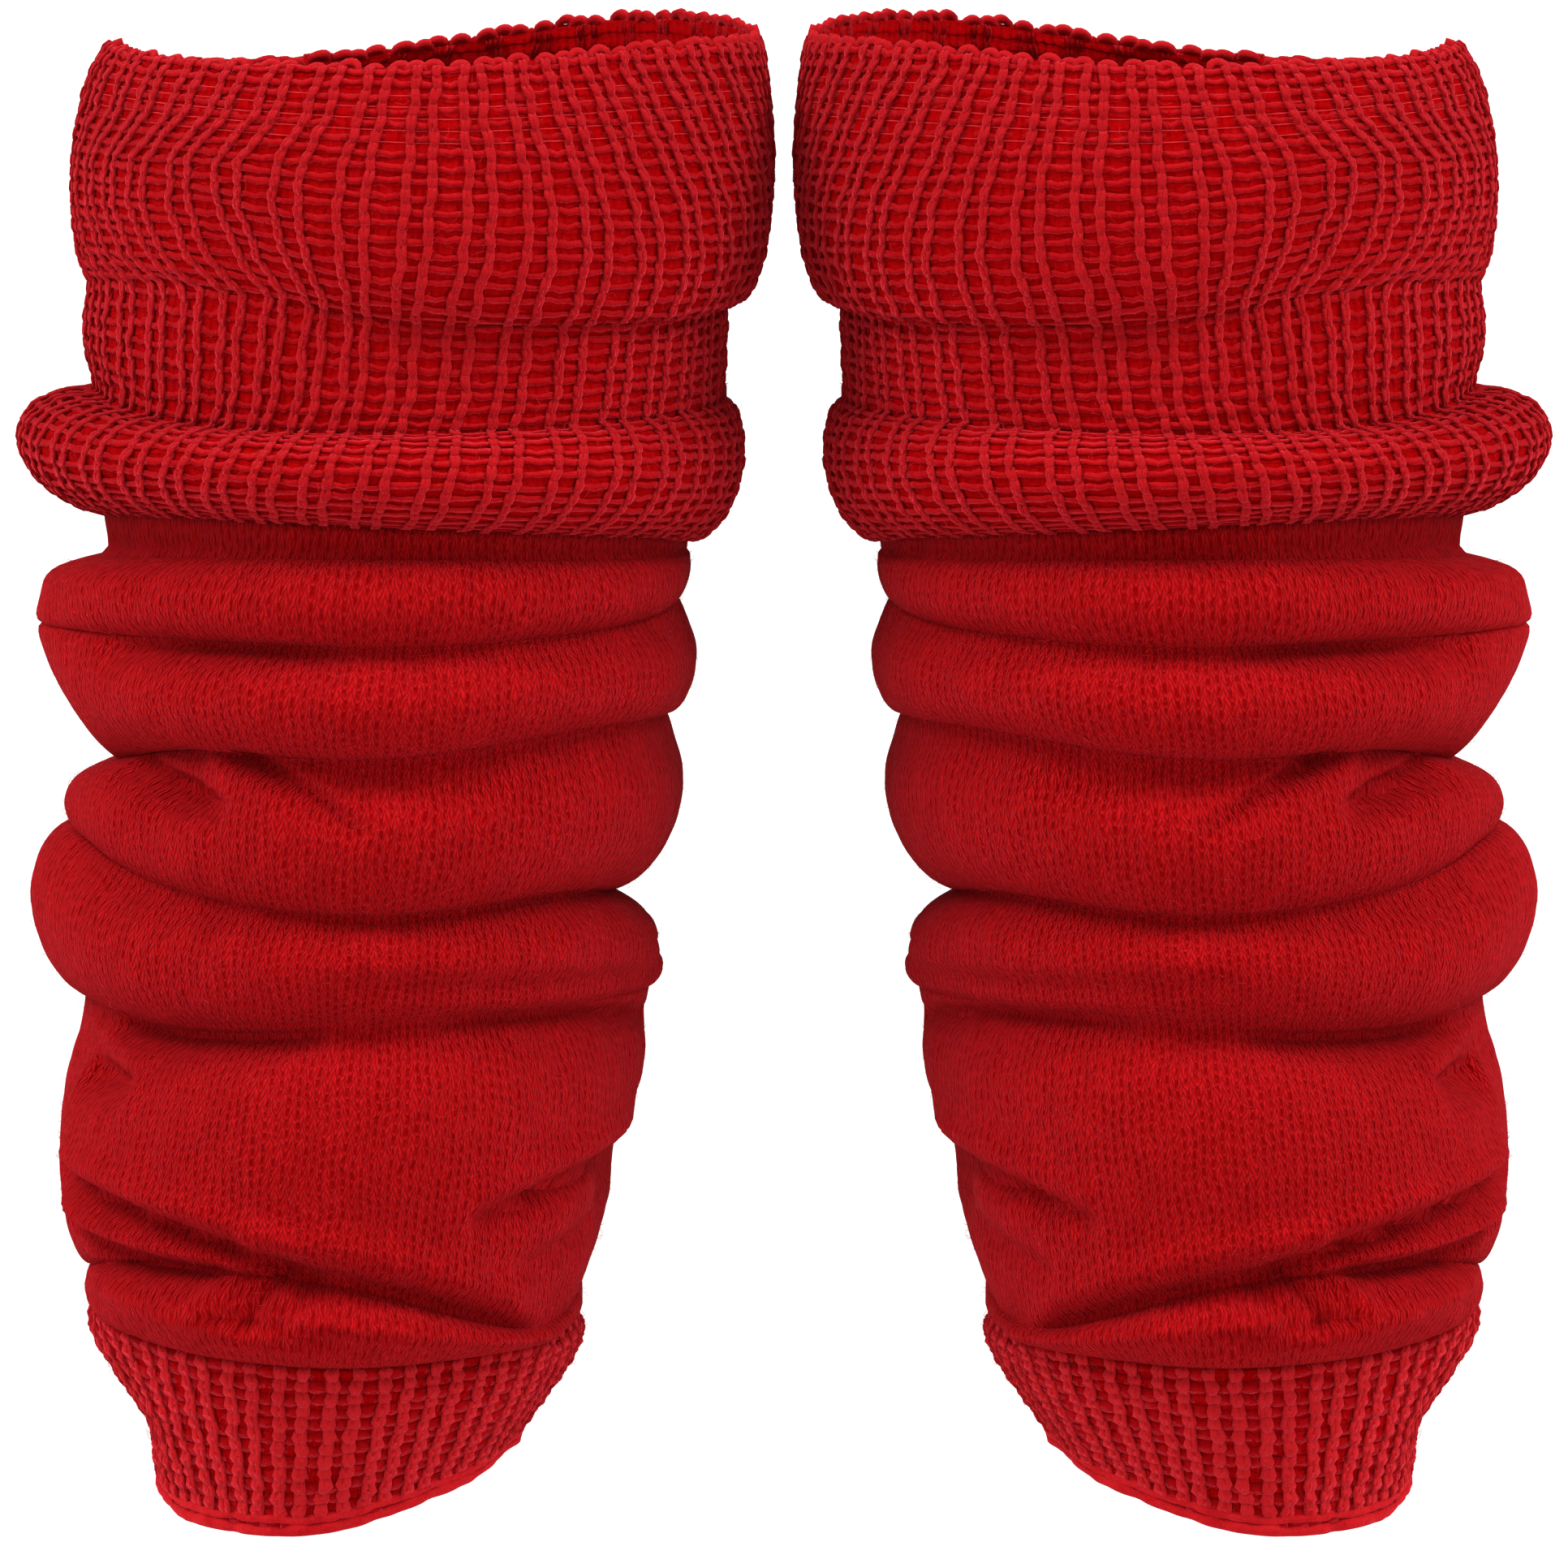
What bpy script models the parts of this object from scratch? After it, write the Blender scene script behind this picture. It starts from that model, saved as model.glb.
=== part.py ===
"""Pair of slouched knitted leg warmers, hollow as worn, standing apart side by side.

Each one is a tube with three zones, from the top: a loose ribbed cuff that hangs over in a roll, a plain
knitted body pushed down into deep folds, and a ribbed ankle cuff. Both ends are open. The front faces -Y, the
two stand mirrored about X = 0, and Z = 0 is the height of the elastic rows that hold each one on its leg.
"""

import math
from collections import namedtuple

import bpy
import numpy as np

MM = 0.001

# Where the two legs stand
LEG_SPACING = 159.2 * MM  # between the two leg axes, at the elastic rows
LEG_LEAN = 0.0818  # how far an axis moves outward for each unit down

# Cloth and knit
WALL = 2.0 * MM  # thickness of the knitted cloth
RIB_RELIEF = 1.5 * MM  # from the valley to the ridge of the ribs
CUFF_RIBS = 40
ANKLE_RIBS = 30
BODY_SIDES = 32
SEAM_GAP = 0.35 * MM  # between two pieces at their seam

# The dome that a fold draws between its creases, in steps down the leg
CUFF_STEPS, BAND_STEPS, ROLL_STEPS = 5, 2, 5
NECK_STEPS, FOLD_STEPS, DRAPE_STEPS, TUCK_STEPS = 1, 4, 6, 3
ANKLE_STEPS = 4

RED = (0.52, 0.012, 0.016, 1.0)
ROUGHNESS = 0.95

# One value for each direction round the leg. The two directions behind that are not named lie midway.
Around = namedtuple("Around", "outer front_outer front front_inner inner back")

# Height of each crease, in millimetres from the elastic rows
CREASE_HEIGHT = {
    "rim": Around(16.5, 14.0, 13.7, 17.0, 16.7, 14.0),
    "cuff_recess": Around(-38.0, -37.0, -44.4, -44.6, -41.5, -41.0),
    "roll_top": Around(-63.0, -68.6, -69.9, -67.7, -64.8, -66.0),
    "roll_under": Around(-91.4, -90.0, -91.5, -94.0, -97.1, -92.0),
    "neck_low": Around(-100.8, -99.2, -98.4, -99.5, -99.6, -99.0),
    "first_crease": Around(-116.0, -117.4, -118.2, -115.0, -109.6, -115.5),
    "second_crease": Around(-147.7, -143.0, -143.6, -137.3, -136.2, -139.0),
    "third_crease": Around(-161.5, -174.0, -179.2, -175.2, -176.5, -169.5),
    "fourth_crease": Around(-201.0, -204.5, -203.2, -201.0, -198.5, -201.5),
    "drape_under": Around(-262.5, -260.0, -268.5, -275.0, -265.0, -263.0),
    "tuck_under": Around(-267.5, -278.0, -282.8, -279.5, -272.5, -274.0),
    "hem": Around(-311.7, -319.0, -320.5, -310.0, -298.5, -297.0),
}

# Reach of each crease from the leg's axis, in millimetres
CREASE_REACH = {
    "rim": Around(75.5, 73.0, 70.5, 72.0, 73.0, 69.0),
    "cuff_recess": Around(75.5, 73.0, 71.0, 70.5, 70.0, 69.0),
    "roll_top": Around(71.5, 71.0, 71.0, 71.5, 71.8, 68.0),
    "roll_under": Around(67.3, 67.5, 68.0, 67.5, 66.5, 66.0),
    "neck_low": Around(65.5, 68.5, 69.5, 68.5, 66.8, 66.0),
    "first_crease": Around(79.5, 70.0, 71.0, 69.0, 64.8, 65.0),
    "second_crease": Around(58.8, 64.0, 68.0, 68.0, 64.0, 64.0),
    "third_crease": Around(68.8, 65.0, 66.0, 61.5, 52.5, 60.0),
    "fourth_crease": Around(63.5, 62.0, 64.3, 64.5, 64.5, 60.5),
    "drape_under": Around(57.0, 59.5, 62.5, 59.5, 55.2, 56.0),
    "tuck_under": Around(55.3, 58.5, 59.5, 57.0, 55.0, 53.0),
    "hem": Around(36.0, 40.0, 44.5, 44.5, 44.0, 40.5),
}

# How far each fold swells beyond the line between its two creases, in millimetres
FOLD_SWELL = {
    "cuff": Around(6.5, 6.5, 8.5, 7.5, 6.5, 8.0),
    "band": Around(2.0, 0.5, 0.0, 0.0, 0.0, 0.0),
    "roll": Around(19.0, 15.5, 14.0, 12.0, 8.0, 12.5),
    "neck": Around(0.0, 0.0, 0.0, 0.0, 0.0, 0.0),
    "first_fold": Around(9.0, 9.5, 8.0, 6.0, 1.0, 8.5),
    "second_fold": Around(7.5, 11.5, 10.0, 9.0, 5.5, 10.0),
    "third_fold": Around(6.5, 10.0, 9.0, 10.0, 9.5, 11.0),
    "fourth_fold": Around(11.5, 10.0, 7.0, 8.0, 7.5, 12.0),
    "drape": Around(6.5, 10.0, 10.0, 8.0, 4.0, 11.0),
    "tuck": Around(1.5, 5.0, 4.0, 3.0, 1.5, 3.5),
    "ankle": Around(6.0, 5.0, 4.5, 5.5, 6.5, 3.0),
}

# Sag lowers a fold's crest, as a share of its height, on its outer and on its inner side. Firm folds (1) turn
# into their creases sharply, soft ones (0) run into them smoothly. Steps are the rows of faces.
Fold = namedtuple("Fold", "name above below sag_outer sag_inner firm steps")
FOLDS = [
    Fold("cuff", "rim", "cuff_recess", -0.05, 0.24, 0.8, CUFF_STEPS),
    Fold("band", "cuff_recess", "roll_top", 0.0, 0.0, 0.2, BAND_STEPS),
    Fold("roll", "roll_top", "roll_under", -0.1, 0.08, 0.95, ROLL_STEPS),
    Fold("neck", "roll_under", "neck_low", 0.0, 0.0, 0.0, NECK_STEPS),
    Fold("first_fold", "neck_low", "first_crease", -0.06, 0.0, 0.85, FOLD_STEPS),
    Fold("second_fold", "first_crease", "second_crease", -0.15, 0.08, 0.9, FOLD_STEPS),
    Fold("third_fold", "second_crease", "third_crease", -0.15, 0.12, 0.85, FOLD_STEPS),
    Fold("fourth_fold", "third_crease", "fourth_crease", -0.06, -0.05, 0.9, FOLD_STEPS),
    Fold("drape", "fourth_crease", "drape_under", 0.1, -0.1, 0.75, DRAPE_STEPS),
    Fold("tuck", "drape_under", "tuck_under", 0.0, 0.0, 0.8, TUCK_STEPS),
    Fold("ankle", "tuck_under", "hem", -0.27, -0.2, 0.3, ANKLE_STEPS),
]

# The three knitted pieces of one leg warmer. A ribbed piece has a plain row at its seam. The lower end of a
# piece stops short of its last crease by its end gap, where the next piece comes up inside it.
Piece = namedtuple("Piece", "name folds sides ribbed seam end_gap")
TUCK_CHORD = (1 - math.cos(math.pi / BODY_SIDES)) * CREASE_REACH["tuck_under"].front * MM
PIECES = [
    Piece("top_rib", FOLDS[:3], CUFF_RIBS, True, "below", SEAM_GAP),
    Piece("body", FOLDS[3:10], BODY_SIDES, False, "both", SEAM_GAP + TUCK_CHORD),
    Piece("ankle_rib", FOLDS[10:], ANKLE_RIBS, True, "above", 0.0),
]

# The rim rises behind on the inner side and dips behind on the outer side, most where it is halfway round
RIM_WAVE = 4.8 * MM

# Local hollows: direction round the leg in degrees (0 inner side, 90 front, 180 outer side), height, half
# length, half width and depth in millimetres, and the fall of its long axis toward the inner side in degrees
Hollow = namedtuple("Hollow", "name azimuth height length width fall depth")
HOLLOWS = [
    Hollow("cuff_slant", 125.0, -27.0, 32.0, 9.0, 35.0, 3.5),
    Hollow("third_fold_pocket", 131.0, -153.0, 14.0, 8.0, 5.0, 5.0),
    Hollow("drape_dimple", 160.0, -213.0, 20.0, 9.0, 0.0, 6.0),
    Hollow("drape_inner_slant", 8.0, -238.0, 26.0, 8.0, -25.0, 5.5),
    Hollow("back_cuff_slant", 250.0, -25.0, 30.0, 9.0, -30.0, 3.5),
    Hollow("back_drape_slant", 285.0, -232.0, 26.0, 8.0, 25.0, 4.0),
]


def eight_ways(row):
    """The row's values at every eighth of a turn from the inner side, with the two unnamed ones midway."""
    return np.array(
        [
            row.inner,
            row.front_inner,
            row.front,
            row.front_outer,
            row.outer,
            (row.outer + row.back) / 2,
            row.back,
            (row.back + row.inner) / 2,
        ]
    ) * MM


def around(values, azimuth):
    """A smooth closed curve through eight evenly spaced values: on each eighth of a turn, the cubic whose
    slopes at its ends are half the difference of the neighbours (Catmull-Rom)."""
    place = np.mod(azimuth, 2 * math.pi) / (math.pi / 4)
    start = np.floor(place).astype(int)
    t = place - start
    before, here, there, after = (values[(start + k) % 8] for k in (-1, 0, 1, 2))
    slope_here = (there - before) / 2
    slope_there = (after - here) / 2
    return (
        here * (2 * t**3 - 3 * t**2 + 1)
        + slope_here * (t**3 - 2 * t**2 + t)
        + there * (3 * t**2 - 2 * t**3)
        + slope_there * (t**3 - t**2)
    )


def rim_wave(fold, azimuth, progress):
    """Extra height of the cuff's rim behind: one wave over the back half turn, fading down the cuff."""
    if fold.above != "rim":
        return 0.0
    wave = np.clip(-np.sin(azimuth), 0.0, 1.0) * 2 * np.cos(azimuth)
    return RIM_WAVE * wave * (1 - progress) ** 2


def dome(fold, azimuth, progress):
    """Height and reach on a fold, with progress 0 at the crease above and 1 at the one below. A firm fold is
    half an ellipse; a soft one is a cosine wave; others are mixed from the two. The sag moves the crest down."""
    firm_path = (1 - np.cos(math.pi * progress)) / 2
    path = fold.firm * firm_path + (1 - fold.firm) * progress
    wave = np.sin(math.pi * progress)
    bulge = fold.firm * wave + (1 - fold.firm) * wave**2
    toward_inner = (1 + np.cos(azimuth)) / 2
    sag = fold.sag_outer + (fold.sag_inner - fold.sag_outer) * toward_inner
    top_z = around(eight_ways(CREASE_HEIGHT[fold.above]), azimuth)
    low_z = around(eight_ways(CREASE_HEIGHT[fold.below]), azimuth)
    top_r = around(eight_ways(CREASE_REACH[fold.above]), azimuth)
    low_r = around(eight_ways(CREASE_REACH[fold.below]), azimuth)
    swell = around(eight_ways(FOLD_SWELL[fold.name]), azimuth)
    height = top_z + (low_z - top_z) * (path + sag * bulge) + rim_wave(fold, azimuth, progress)
    reach = top_r + (low_r - top_r) * path + swell * bulge
    return height, reach


def hollow_depth(azimuth, height, reach):
    """Sum of the local hollows: each is a bell in its own turned length and width."""
    depth = np.zeros_like(height)
    for h in HOLLOWS:
        turn = np.mod(azimuth - math.radians(h.azimuth) + math.pi, 2 * math.pi) - math.pi
        sideways = -turn * reach
        down = h.height * MM - height
        fall = math.radians(h.fall)
        along = sideways * math.cos(fall) + down * math.sin(fall)
        across = down * math.cos(fall) - sideways * math.sin(fall)
        bell = np.exp(-((along / (h.length * MM)) ** 2) - (across / (h.width * MM)) ** 2)
        depth += h.depth * MM * bell
    return depth


def place(azimuth, height, reach):
    """Points of the outer leg warmer on the -X side, from its own leaning axis."""
    axis_x = -LEG_SPACING / 2 + LEG_LEAN * height
    return np.stack([axis_x + reach * np.cos(azimuth), -reach * np.sin(azimuth), height], axis=-1)


def rows_down(folds, azimuth, end_gap):
    """The cloth's points for a run of folds, one row of the grid after another. The last row stops short of
    its crease by end_gap, where the piece below passes inside it."""
    rows = []
    for number, fold in enumerate(folds):
        for step in range(0 if number == 0 else 1, fold.steps + 1):
            progress = np.full_like(azimuth, step / fold.steps)
            if end_gap and fold is folds[-1] and step == fold.steps:
                swell = around(eight_ways(FOLD_SWELL[fold.name]), azimuth)
                progress = 1 - np.arcsin(end_gap / (swell * fold.firm)) / math.pi
            height, reach = dome(fold, azimuth, progress)
            reach = reach - hollow_depth(azimuth, height, reach)
            rows.append(place(azimuth, height, reach))
    return np.array(rows)


def outward(grid):
    """Unit normals of a closed-round grid, from the differences between neighbouring points."""
    along_turn = np.roll(grid, -1, axis=1) - np.roll(grid, 1, axis=1)
    down_leg = np.gradient(grid, axis=0)
    normal = np.cross(along_turn, down_leg)
    return normal / np.linalg.norm(normal, axis=-1, keepdims=True)


def rib_height(piece, rows):
    """Ridge and valley heights for two points a rib. They fade out over one row at the end with a seam."""
    ridge = np.where(np.arange(2 * piece.sides) % 2 == 0, RIB_RELIEF / 2, -RIB_RELIEF / 2)
    strength = np.ones(rows)
    strength[0 if piece.seam == "above" else -1] = 0.0
    return strength[:, None] * ridge[None, :]


def grid_faces(rows, columns, offset, inward):
    """Quads of a closed-round grid whose points start at offset, facing out or inward."""
    faces = []
    for i in range(rows - 1):
        for j in range(columns):
            k = (j + 1) % columns
            quad = (
                offset + i * columns + j,
                offset + (i + 1) * columns + j,
                offset + (i + 1) * columns + k,
                offset + i * columns + k,
            )
            faces.append(quad if inward else quad[::-1])
    return faces


def rim_faces(outer_start, inner_start, sides, split, top):
    """Faces between the outer and the inner ring at one end. With split 2 the outer ring has two points for
    each one of the inner ring."""
    faces = []
    for j in range(sides):
        k = (j + 1) % sides
        low = [outer_start + split * j + s for s in range(split)] + [outer_start + split * k]
        face = low + [inner_start + k, inner_start + j]
        faces.append(tuple(face[::-1] if top else face))
    return faces


def wall_mesh(piece):
    """A closed wall: an outer grid with its ribs raised over a plain inner one, and a rim at each end."""
    azimuth = np.arange(piece.sides) * 2 * math.pi / piece.sides
    plain = rows_down(piece.folds, azimuth, piece.end_gap)
    inner = plain - WALL * outward(plain)
    outer = plain
    split = 1
    if piece.ribbed:
        split = 2
        half_steps = np.arange(2 * piece.sides) * math.pi / piece.sides
        outer = rows_down(piece.folds, half_steps, piece.end_gap)
        outer = outer + rib_height(piece, len(outer))[..., None] * outward(outer)
    rows, outer_sides = outer.shape[:2]
    inner_start = rows * outer_sides
    last_outer = inner_start - outer_sides
    last_inner = inner_start + (rows - 1) * piece.sides
    points = np.concatenate([outer.reshape(-1, 3), inner.reshape(-1, 3)])
    faces = grid_faces(rows, outer_sides, 0, inward=False)
    faces += grid_faces(rows, piece.sides, inner_start, inward=True)
    faces += rim_faces(0, inner_start, piece.sides, split, top=True)
    faces += rim_faces(last_outer, last_inner, piece.sides, split, top=False)
    return points, faces


def knit_material(name):
    """Matt red knit."""
    material = bpy.data.materials.new(name)
    material.use_nodes = True
    shader = material.node_tree.nodes["Principled BSDF"]
    shader.inputs["Base Color"].default_value = RED
    shader.inputs["Roughness"].default_value = ROUGHNESS
    shader.inputs["Metallic"].default_value = 0.0
    return material


def add_piece(name, points, faces, mirrored):
    """One named object from its points and faces. The mirrored one has its faces turned round."""
    if mirrored:
        points = points * np.array([-1.0, 1.0, 1.0])
        faces = [face[::-1] for face in faces]
    mesh = bpy.data.meshes.new(name)
    mesh.from_pydata([tuple(p) for p in points], [], faces)
    mesh.materials.append(knit_material(name + "_knit"))
    mesh.shade_smooth()
    piece = bpy.data.objects.new(name, mesh)
    bpy.context.scene.collection.objects.link(piece)
    return piece


def build():
    for old in list(bpy.data.objects):
        bpy.data.objects.remove(old, do_unlink=True)
    for piece in PIECES:
        points, faces = wall_mesh(piece)
        for side in ("left", "right"):
            add_piece(f"{side}_{piece.name}", points, faces, mirrored=side == "right")


build()
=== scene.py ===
"""Looks of a pair of slouched knitted leg warmers, hollow as worn, standing apart side by side.

Each leg warmer is a tube of three knitted pieces. The loose cuff and the ankle cuff are 2x2 rib: a ground
painted dark as the shade between the yarns, with chains of yarn stitches on it, and bars and purl rows of
yarn between the chains. The body is plain knit: one shell whose stitches are in its material, with painted
shade in their hollows and holes. Everything is made for the one on the -X side and mirrored about X = 0.
"""

import math
from collections import namedtuple

import bpy
import numpy as np
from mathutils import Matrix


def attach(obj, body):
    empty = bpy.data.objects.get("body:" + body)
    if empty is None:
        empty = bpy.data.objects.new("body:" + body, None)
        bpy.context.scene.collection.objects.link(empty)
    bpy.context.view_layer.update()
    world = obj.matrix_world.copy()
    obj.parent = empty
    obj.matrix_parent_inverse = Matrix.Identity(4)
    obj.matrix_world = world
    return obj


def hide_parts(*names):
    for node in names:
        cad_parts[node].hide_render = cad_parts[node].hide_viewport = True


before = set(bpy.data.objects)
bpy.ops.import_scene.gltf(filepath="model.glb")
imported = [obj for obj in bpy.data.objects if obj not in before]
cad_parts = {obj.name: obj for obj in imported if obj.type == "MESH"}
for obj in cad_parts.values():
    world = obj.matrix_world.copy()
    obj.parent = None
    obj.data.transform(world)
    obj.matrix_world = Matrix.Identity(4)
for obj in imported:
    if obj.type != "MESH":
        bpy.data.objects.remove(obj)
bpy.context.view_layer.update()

MM = 0.001

# Where the two legs stand
LEG_SPACING = 159.2 * MM
LEG_LEAN = 0.0818  # how far an axis moves outward for each unit down
WALL = 2.0 * MM

BODY_WALES = 200  # round the leg

# One value for each direction round the leg. The two directions behind that are not named lie midway.
Around = namedtuple("Around", "outer front_outer front front_inner inner back")

# Height of each crease, in millimetres from the elastic rows
CREASE_HEIGHT = {
    "rim": Around(16.5, 14, 13.7, 17, 16.7, 14),
    "cuff_recess": Around(-38, -37, -44.4, -44.6, -41.5, -41),
    "roll_top": Around(-63, -68.6, -69.9, -67.7, -64.8, -66),
    "roll_under": Around(-91.4, -90, -91.5, -94, -97.1, -92),
    "neck_low": Around(-100.8, -99.2, -98.4, -99.5, -99.6, -99),
    "first_crease": Around(-116, -117.4, -118.2, -115, -109.6, -115.5),
    "second_crease": Around(-147.7, -143, -143.6, -137.3, -136.2, -139),
    "third_crease": Around(-161.5, -174, -179.2, -175.2, -176.5, -169.5),
    "fourth_crease": Around(-201, -204.5, -203.2, -201, -198.5, -201.5),
    "drape_under": Around(-262.5, -260, -264, -274.5, -265, -263),
    "tuck_under": Around(-267.5, -278, -282.8, -279.5, -272.5, -274),
    "hem": Around(-311.7, -319, -320.5, -310, -298.5, -297),
}

# Reach of each crease from the leg's axis, in millimetres
CREASE_REACH = {
    "rim": Around(75.5, 73, 70.5, 72, 73, 69),
    "cuff_recess": Around(75.5, 73, 71, 70.5, 70, 69),
    "roll_top": Around(71.5, 71, 71, 71.5, 71.8, 68),
    "roll_under": Around(67.3, 67.5, 68, 67.5, 66.5, 66),
    "neck_low": Around(65.5, 68.5, 69.5, 68.5, 66.8, 66),
    "first_crease": Around(79.4, 70.5, 71, 69, 64.8, 65),
    "second_crease": Around(58.8, 64, 68, 68, 64, 64),
    "third_crease": Around(68.8, 65, 66, 61.5, 52.5, 60),
    "fourth_crease": Around(63.5, 62, 64.3, 64.5, 64.5, 60.5),
    "drape_under": Around(57, 59.5, 62.5, 59.5, 55.2, 56),
    "tuck_under": Around(55.3, 58.5, 59.5, 57, 55, 53),
    "hem": Around(36, 40, 44.5, 44.5, 44, 40.5),
}

# How far each fold swells beyond the line between its two creases, in millimetres
FOLD_SWELL = {
    "cuff": Around(6.5, 6.5, 8.5, 7.5, 6.5, 8),
    "band": Around(2, 0.5, 0, 0, 0, 0),
    "roll": Around(19, 15.5, 14, 12, 8, 12.5),
    "neck": Around(0, 0, 0, 0, 0, 0),
    "first_fold": Around(5.5, 9.5, 8, 6, 1, 8.5),
    "second_fold": Around(4.6, 11.5, 10, 9, 5.5, 10),
    "third_fold": Around(6.5, 10, 9, 10, 9.5, 11),
    "fourth_fold": Around(11.5, 10, 7, 8, 7.5, 12),
    "drape": Around(6.5, 10, 10, 8, 4, 11),
    "tuck": Around(1.5, 8, 8.5, 5.5, 1.5, 4.5),
    "ankle": Around(6, 5, 4.5, 5.5, 6.5, 3),
}

# Sag lowers a fold's crest, as a share of its height, on its outer and on its inner side. Firm folds (1) turn
# into their creases sharply, soft ones (0) run into them smoothly.
Fold = namedtuple("Fold", "name above below sag_outer sag_inner firm")
CUFF_FOLDS = [
    Fold("cuff", "rim", "cuff_recess", -0.05, 0.24, 0.8),
    Fold("band", "cuff_recess", "roll_top", 0, 0, 0.2),
    Fold("roll", "roll_top", "roll_under", -0.1, 0.08, 0.95),
]
BODY_FOLDS = [
    Fold("neck", "roll_under", "neck_low", 0, 0, 0),
    Fold("first_fold", "neck_low", "first_crease", -0.06, 0, 0.85),
    Fold("second_fold", "first_crease", "second_crease", -0.02, 0.08, 0.9),
    Fold("third_fold", "second_crease", "third_crease", -0.15, 0.12, 0.85),
    Fold("fourth_fold", "third_crease", "fourth_crease", -0.06, -0.05, 0.9),
    Fold("drape", "fourth_crease", "drape_under", 0.1, -0.1, 0.75),
    Fold("tuck", "drape_under", "tuck_under", 0, 0, 0.8),
]
ANKLE_FOLDS = [Fold("ankle", "tuck_under", "hem", -0.27, -0.2, 0.3)]
RIM_WAVE = 4.8 * MM  # how far the rim rises and falls behind

# Local hollows: direction round the leg in degrees (0 inner side, 90 front, 180 outer side), height, half
# length, half width and depth in millimetres, and the fall of its long axis toward the inner side in degrees
Hollow = namedtuple("Hollow", "name azimuth height length width fall depth")
HOLLOWS = [
    Hollow("cuff_slant", 125, -27, 32, 9, 35, 3.5),
    Hollow("third_fold_pocket", 131, -153, 14, 8, 5, 6.5),
    Hollow("drape_dimple", 160, -213, 20, 9, 0, 3.5),
    Hollow("drape_inner_slant", 8, -238, 26, 8, -25, 5.5),
    Hollow("back_cuff_slant", 250, -25, 30, 9, -30, 3.5),
    Hollow("back_drape_slant", 285, -232, 26, 8, 25, 4),
]

# Finer creases from one direction and height to another, in degrees and millimetres. The bow lifts the
# middle. Above and below are how far the crease spreads from its line. A ridge has a negative depth.
Crease = namedtuple("Crease", "name from_azimuth from_height to_azimuth to_height bow above below depth")
CREASES = [
    Crease("roll_shadow", 172, -99, 100, -97, 0, 3, 4, 1.6),
    Crease("first_fold_shoulder", 138, -103.5, 222, -103.5, 0, 3, 4.5, -4.5),
    Crease("first_crease_outer", 152, -119.5, 100, -118.5, 0, 1.4, 3.4, 4),
    Crease("third_fold_pocket", 150, -145.5, 118, -156, 0, 2.2, 4.2, 8),
    Crease("pocket_lip", 145, -152.5, 120, -161, 0, 2.6, 3, -2),
    Crease("third_fold_pleat", 128, -142.5, 102, -154, 0, 1.8, 3, -3.2),
    Crease("third_fold_slant", 121, -142, 91, -160.5, 1.5, 1.6, 3.4, 5.6),
    Crease("third_fold_shade", 104, -149.5, 66, -149, -1, 3, 5, 1.8),
    Crease("fourth_fold_shade", 97, -194.5, 8, -193.5, -1, 2, 3.4, 2.6),
    Crease("fourth_crease_outer", 154, -205, 96, -206.5, -2, 1.4, 3.2, 6),
    Crease("fourth_crease_inner", 76, -203.5, 2, -205, 1.5, 1.4, 3, 4.6),
    Crease("drape_shoulder", 172, -206, 136, -214, 0, 2.6, 2.6, -2.6),
    Crease("drape_dimple", 164, -216.5, 138, -220, 0, 2.6, 5, 7),
    Crease("drape_outer_edge", 172, -238.5, 92, -262, 2, 1.3, 3.2, 6.8),
    Crease("drape_outer_lip", 166, -235.5, 94, -257, 2, 4, 2, -3.6),
    Crease("drape_front_edge", 110, -257, 42, -277, 2, 1.2, 2.4, 3),
    Crease("narrow_fold", 166, -246.5, 112, -258, -2, 2.4, 2, -4),
    Crease("narrow_fold_edge", 166, -249.5, 108, -261.5, -2, 1.2, 3, 4),
    Crease("saddle", 106, -253, 118, -271, 0, 3, 3, -3.2),
    Crease("saddle_crease", 100, -258, 109, -274, 0, 2, 2, 3),
    Crease("saddle_fold", 94, -262, 102, -274, 0, 2, 2, 1.8),
    Crease("tuck_slot", 118, -269.5, 80, -278.5, 0, 1.3, 2.4, 4),
    Crease("tuck_lip", 160, -259.5, 84, -278, -3, 4.5, 3, -3.6),
    Crease("tuck_tongue", 100, -272.5, 30, -279, 0, 4.5, 4, -3.6),
    Crease("drape_front_lip", 110, -252.5, 40, -273, 2, 5, 2.8, -3.6),
    Crease("ankle_outer_bulge", 140, -277, 220, -277, 0, 7, 9, -3.4),
    Crease("ankle_outer_pinch", 138, -298, 222, -298, 0, 6, 8, 2.8),
    Crease("drape_inner_slant", 8, -233.5, 66, -249.5, 3, 1.4, 4.6, 7),
    Crease("drape_inner_ridge", 10, -228.5, 66, -244.5, 3, 3.4, 2.2, -2.6),
    Crease("drape_inner_low", 22, -250, 54, -262, 1, 2, 4, 2.6),
    Crease("back_first_crease", 304, -118, 256, -116, 0, 1.6, 3.4, 3.6),
    Crease("back_second_pleat", 268, -141, 292, -153, 1, 2, 3.4, 4.6),
    Crease("back_third_slant", 214, -149, 262, -157, 1.5, 1.6, 3.8, 5.4),
    Crease("back_fourth_shade", 206, -190, 282, -193, -1, 2, 3.4, 2.4),
    Crease("back_fourth_crease", 226, -204, 288, -203, 1, 1.4, 3.4, 5.4),
    Crease("back_drape_edge", 222, -242, 302, -257, 1, 1.4, 4, 7),
    Crease("back_drape_lip", 222, -237, 302, -252, 1, 3.2, 2, -2.8),
    Crease("back_drape_pinch", 196, -226, 236, -236, 0, 1.8, 4, 4.6),
    Crease("back_tuck_slot", 236, -266, 266, -271, 0, 1.4, 3, 5.5),
    Crease("back_tuck_lip", 210, -262, 290, -272, -2, 2.4, 2, -2.4),
    Crease("inner_fourth_pinch", 330, -186, 372, -190, 1, 1.8, 3.8, 3.6),
]

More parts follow.
